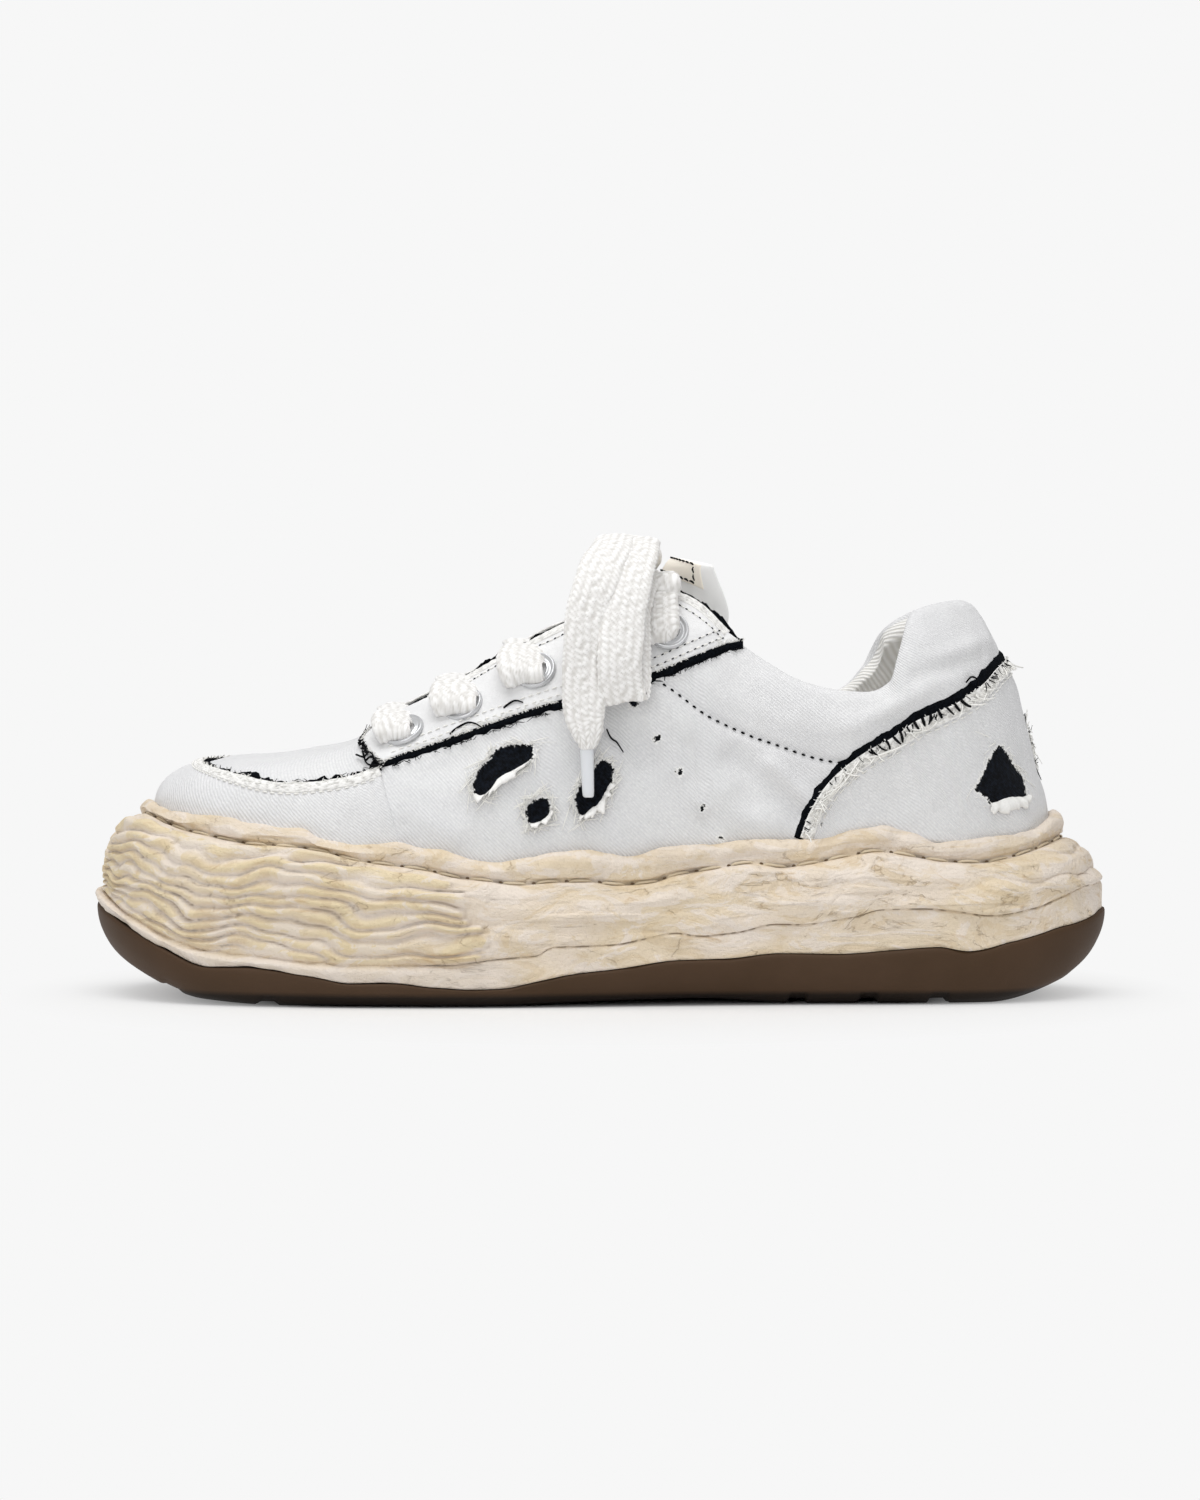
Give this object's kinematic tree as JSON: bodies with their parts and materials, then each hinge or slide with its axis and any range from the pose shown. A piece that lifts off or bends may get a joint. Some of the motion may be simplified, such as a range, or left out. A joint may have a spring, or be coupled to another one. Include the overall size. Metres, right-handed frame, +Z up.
{
  "type": "left low-top sneaker",
  "caption": "Worn left low-top sneaker with a thick rubber cup sole, raw-edged canvas upper, padded collar and a wide flat lace tied in a bow.",
  "frame": {"origin": "on the floor plane, under the middle of the sole's length and width", "axes": "+X from toe to heel, -Y towards the outer side of the foot, +Z up"},
  "size_m": [0.3134, 0.121, 0.1427],
  "materials": {
    "outsole_rubber": "matt brown crepe rubber",
    "midsole_rubber": "matt cream rubber, hand-shaped, lumpy",
    "lining": "ribbed off-white lining",
    "canvas": "white cotton twill, worn, raw black-backed edges",
    "eyelet": "white lacquer, satin",
    "lace": "flat herringbone braid",
    "aglet": "clear sleeve over the lace tip"
  },
  "bodies": {
    "root": {"outsole": "outsole_rubber", "midsole": "midsole_rubber", "insole": "lining", "upper": "canvas", "tongue": "canvas", "eyelet_outer_1": "eyelet", "eyelet_outer_2": "eyelet", "eyelet_outer_3": "eyelet", "eyelet_outer_4": "eyelet", "eyelet_outer_5": "eyelet", "eyelet_inner_1": "eyelet", "eyelet_inner_2": "eyelet", "eyelet_inner_3": "eyelet", "eyelet_inner_4": "eyelet", "eyelet_inner_5": "eyelet", "lace_bar_1": "lace", "lace_bar_2": "lace", "lace_bar_3": "lace", "lace_bar_4": "lace", "lace_bar_5": "lace", "lace_knot": "lace", "lace_loop_outer": "lace", "lace_loop_inner": "lace", "lace_end_outer": "lace", "lace_end_inner": "lace", "aglet_outer": "aglet", "aglet_inner": "aglet"}
  },
  "joints": []
}
